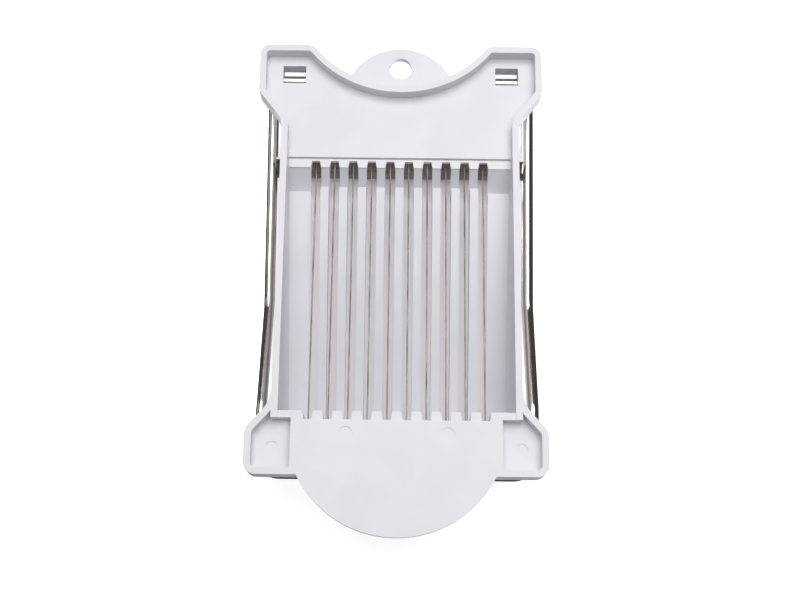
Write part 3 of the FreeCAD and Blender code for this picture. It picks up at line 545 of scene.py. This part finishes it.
def repeat_across(finish):
    """Node group: the given piece repeated across the row at an even pitch."""
    tree = bpy.data.node_groups.new("repeat_across", "GeometryNodeTree")
    input_of(tree, "Piece", "NodeSocketGeometry", None)
    names = {
        "count": input_of(tree, "Count", "NodeSocketInt", WIRE_COUNT),
        "pitch": input_of(tree, "Pitch", "NodeSocketFloat", 0.0),
    }
    tree.interface.new_socket("Row", in_out="OUTPUT", socket_type="NodeSocketGeometry")
    given = add(tree, "NodeGroupInput").outputs
    step = add(tree, "ShaderNodeCombineXYZ", {"X": given["Pitch"]})
    places = add(tree, "GeometryNodeMeshLine", {
        "Count": given["Count"], "Offset": step.outputs["Vector"]}, mode="OFFSET")
    row = add(tree, "GeometryNodeInstanceOnPoints", {
        "Points": places.outputs["Mesh"], "Instance": given["Piece"]})
    real = add(tree, "GeometryNodeRealizeInstances", {"Geometry": row.outputs["Instances"]})
    dressed = add(tree, "GeometryNodeSetMaterial", {"Geometry": real.outputs["Geometry"]},
                  Material=finish)
    add(tree, "NodeGroupOutput", {"Row": dressed.outputs["Geometry"]})
    return tree, names


stop_finish = crimped_steel()
stops_tree, stops_inputs = repeat_across(stop_finish)
for node, name in (("rear_wire_stops", "rear_crimped_sleeves"),
                   ("front_wire_stops", "front_crimped_sleeves")):
    low, high = (Vector(corner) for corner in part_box(node))
    stops = bpy.data.objects.new(name, sleeve(low, high))
    bpy.context.collection.objects.link(stops)
    grow(stops, stops_tree, {stops_inputs["count"]: WIRE_COUNT,
                             stops_inputs["pitch"]: wire_pitch})
    settle(stops, stop_finish)
    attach(stops, "cutter_frame")
    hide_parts(node)


# Weld beads: small beads of filler where each end of a plate meets an arm. Their skin is
# rippled and slumped, and the heat has left straw and blue on the steel.
BEAD_GRAIN = 0.14 * MM
BEAD_SLUMP = 5
BEAD_SHARP = math.radians(80)

# Heat-tinted weld steel: a rippled, half-dull skin that runs from grey through straw to blue.
BEAD_STEEL = linear("#9C948A")
BEAD_STRAW = linear("#8C6E48")
BEAD_BLUE = linear("#4F5768")
RIPPLE = 0.5 * MM
HEAT_BAND = 1.6 * MM


def heat_tinted_weld():
    material, tree, shader = new_material("heat_tinted_weld_steel")
    spot = add(tree, "ShaderNodeTexCoord").outputs["Object"]
    clouds = add(tree, "ShaderNodeTexNoise", {"Vector": spot}, Scale=1 / HEAT_BAND, Detail=3.0)
    tint = add(tree, "ShaderNodeValToRGB", {"Fac": clouds.outputs["Fac"]})
    tint.color_ramp.elements[0].position = 0.36
    tint.color_ramp.elements[0].color = BEAD_STEEL
    tint.color_ramp.elements[1].position = 0.66
    tint.color_ramp.elements[1].color = BEAD_BLUE
    tint.color_ramp.elements.new(0.52).color = BEAD_STRAW
    tree.links.new(tint.outputs["Color"], shader.inputs["Base Color"])
    ripples = add(tree, "ShaderNodeTexNoise", {"Vector": spot}, Scale=1 / RIPPLE, Detail=3.0)
    rough = add(tree, "ShaderNodeMapRange", {"Value": ripples.outputs["Fac"]},
                From_Min=0.3, From_Max=0.7, To_Min=0.3, To_Max=0.5)
    tree.links.new(rough.outputs["Result"], shader.inputs["Roughness"])
    relief = add(tree, "ShaderNodeBump", {"Height": ripples.outputs["Fac"]}, Strength=0.5,
                 Distance=0.08 * MM)
    tree.links.new(relief.outputs["Normal"], shader.inputs["Normal"])
    shader.inputs["Metallic"].default_value = 1.0
    return material


beads = merged_copy("weld_beads", "weld_filler")
melt = beads.modifiers.new("melt", "REMESH")
melt.mode = "VOXEL"
melt.voxel_size = BEAD_GRAIN
slump = beads.modifiers.new("slump", "SMOOTH")
slump.factor = 0.5
slump.iterations = BEAD_SLUMP
settle(beads, heat_tinted_weld(), BEAD_SHARP)
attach(beads, "cutter_frame")
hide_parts("weld_beads")


# Stage: a pale floor under the feet, and a pale sheet against the cradle side, which is what
# the slicer lies on when it is turned over. Each is matt card, seen only from the slicer's side.
STAGE_PALE = linear("#F6F6F7")
# Painted shade: the sheet's darker colour over the place that the slicer covers.
STAGE_PAINTED_SHADE = linear("#E0DDDF")
STAGE_HALF = 4.0
FLOOR_DROP = 0.2 * MM
FLOOR_GLOW = 0.1
# Painted light: the sheet glows around the place that the slicer covers, so no shadow of the
# slicer shows there.
GLOW = 0.6
GLOW_EDGE = 8 * MM
COVERED_HALF = (56 * MM, 68 * MM)
REST_FRONT = Vector((0, -59.4, 43.0)) * MM
REST_REAR = Vector((0, 42.0, 23.2)) * MM


def pale_sheet(name, centre, tilt, facing, glow, dim_half=None):
    """A wide matt sheet that faces one way, and lets light and sight through from behind.
    Over the place that the slicer covers it has no glow and a painted half shade; around that
    place it glows, which is painted light."""
    mesh = bpy.data.meshes.new(name)
    corners = [(-STAGE_HALF, -STAGE_HALF, 0), (STAGE_HALF, -STAGE_HALF, 0),
               (STAGE_HALF, STAGE_HALF, 0), (-STAGE_HALF, STAGE_HALF, 0)]
    mesh.from_pydata(corners, [], [(0, 1, 2, 3) if facing > 0 else (3, 2, 1, 0)])
    mesh.transform(Matrix.Translation(centre) @ Matrix.Rotation(tilt, 4, "X"))
    thing = bpy.data.objects.new(name, mesh)
    bpy.context.collection.objects.link(thing)
    material, tree, matt = new_material(name + "_matt_card")
    matt.inputs["Base Color"].default_value = STAGE_PALE
    matt.inputs["Roughness"].default_value = 0.9
    matt.inputs["Emission Color"].default_value = (1, 1, 1, 1)
    matt.inputs["Emission Strength"].default_value = glow
    if dim_half:
        spot = add(tree, "ShaderNodeTexCoord").outputs["Object"]
        split = add(tree, "ShaderNodeSeparateXYZ", {"Vector": spot})
        sides = [add(tree, "ShaderNodeMath", {"Value": split.outputs[axis]},
                     operation="ABSOLUTE").outputs["Value"] for axis in ("X", "Y")]
        past = [add(tree, "ShaderNodeMapRange", {"Value": side}, From_Min=half - GLOW_EDGE,
                    From_Max=half, interpolation_type="SMOOTHSTEP").outputs["Result"]
                for side, half in zip(sides, dim_half)]
        outside = add(tree, "ShaderNodeMath", {"Value": past[0], "Value_001": past[1]},
                      operation="MAXIMUM")
        # Painted light: the glow rises from none over the covered place to full around it.
        strength = add(tree, "ShaderNodeMapRange", {"Value": outside.outputs["Value"]},
                       To_Max=glow)
        tree.links.new(strength.outputs["Result"], matt.inputs["Emission Strength"])
        # Painted shade: over the covered place the sheet takes the darker colour.
        shade = add(tree, "ShaderNodeMix", {"Factor_Float": outside.outputs["Value"]},
                    data_type="RGBA", A_Color=STAGE_PAINTED_SHADE, B_Color=STAGE_PALE)
        tree.links.new(shade.outputs[2], matt.inputs["Base Color"])
    clear = add(tree, "ShaderNodeBsdfTransparent")
    side = add(tree, "ShaderNodeNewGeometry").outputs["Backfacing"]
    seen = add(tree, "ShaderNodeMixShader", {
        "Fac": side, "Shader": matt.outputs["BSDF"], "Shader_001": clear.outputs["BSDF"]})
    ending = next(node for node in tree.nodes if node.type == "OUTPUT_MATERIAL")
    tree.links.new(seen.outputs["Shader"], ending.inputs["Surface"])
    mesh.materials.append(material)
    thing.visible_shadow = False
    thing.visible_diffuse = False
    thing.visible_glossy = False
    return thing


floor = pale_sheet("floor", Vector((0, 0, -FLOOR_DROP)), 0.0, 1, FLOOR_GLOW)
rest = REST_REAR - REST_FRONT
backdrop = pale_sheet("turned_over_rest", REST_FRONT, math.atan2(rest.z, rest.y), -1,
                      GLOW, COVERED_HALF)


# Light: a room that lights matt plastic from all round and that polished steel mirrors as
# dark, and four soft lamps, two under the feet for the underside and two over the cradle.
ROOM_FILL = 0.26
ROOM_DARK = 0.07
MIDDLE = (0.0, -0.01, 0.015)

world = bpy.data.worlds.new("studio_air")
world.use_nodes = True
bpy.context.scene.world = world
sky = world.node_tree
sky.nodes.clear()
mirrored = add(sky, "ShaderNodeLightPath").outputs["Is Glossy Ray"]
level = add(sky, "ShaderNodeMapRange", {"Value": mirrored}, To_Min=ROOM_FILL, To_Max=ROOM_DARK)
air = add(sky, "ShaderNodeBackground", {"Strength": level.outputs["Result"]},
          Color=(1, 1, 1, 1))
add(sky, "ShaderNodeOutputWorld", {"Surface": air.outputs["Background"]})


def softbox(name, spot, aim, breadth, watts):
    """A square soft light that points at a place on the slicer."""
    light = bpy.data.lights.new(name, "AREA")
    light.shape = "SQUARE"
    light.size = breadth
    light.energy = watts
    lamp = bpy.data.objects.new(name, light)
    lamp.location = spot
    lamp.rotation_mode = "QUATERNION"
    lamp.rotation_quaternion = (Vector(aim) - Vector(spot)).to_track_quat("-Z", "Y")
    bpy.context.collection.objects.link(lamp)


softbox("under_key", (-0.1, 0.22, -0.9), MIDDLE, 0.85, 7.5)
softbox("under_fill", (0.75, 0.3, -0.6), MIDDLE, 0.5, 0.4)
softbox("over_key", (-0.85, -0.3, 0.6), MIDDLE, 0.6, 12.0)
softbox("over_fill", (0.85, 0.15, 0.5), MIDDLE, 0.6, 5.0)


# Camera: below the feet, looking up at the turned-over slicer with its hinge end at the top.
LENS = 57.97
TILT = math.radians(15.445)
ROLL = math.radians(0.674)
YAW = math.radians(-0.119)
DISTANCE = 523.9 * MM
AIM = Vector((1.235, -13.12, 0.0)) * MM

ahead = Vector((0, math.sin(TILT), math.cos(TILT)))
upward = Vector((0, math.cos(TILT), -math.sin(TILT)))
right = Vector((-1, 0, 0))
ahead, right = (ahead * math.cos(YAW) + right * math.sin(YAW),
                right * math.cos(YAW) - ahead * math.sin(YAW))
right, upward = (right * math.cos(ROLL) + upward * math.sin(ROLL),
                 upward * math.cos(ROLL) - right * math.sin(ROLL))
lens = bpy.data.cameras.new("camera")
lens.lens = LENS
lens.sensor_width = 36.0
lens.clip_start = 0.01
lens.clip_end = 20.0
camera = bpy.data.objects.new("camera", lens)
turn = Matrix((right, upward, -ahead)).transposed().to_4x4()
camera.matrix_world = Matrix.Translation(AIM - ahead * DISTANCE) @ turn
bpy.context.collection.objects.link(camera)
bpy.context.scene.camera = camera
bpy.context.scene.view_settings.view_transform = "Standard"

bpy.context.view_layer.update()
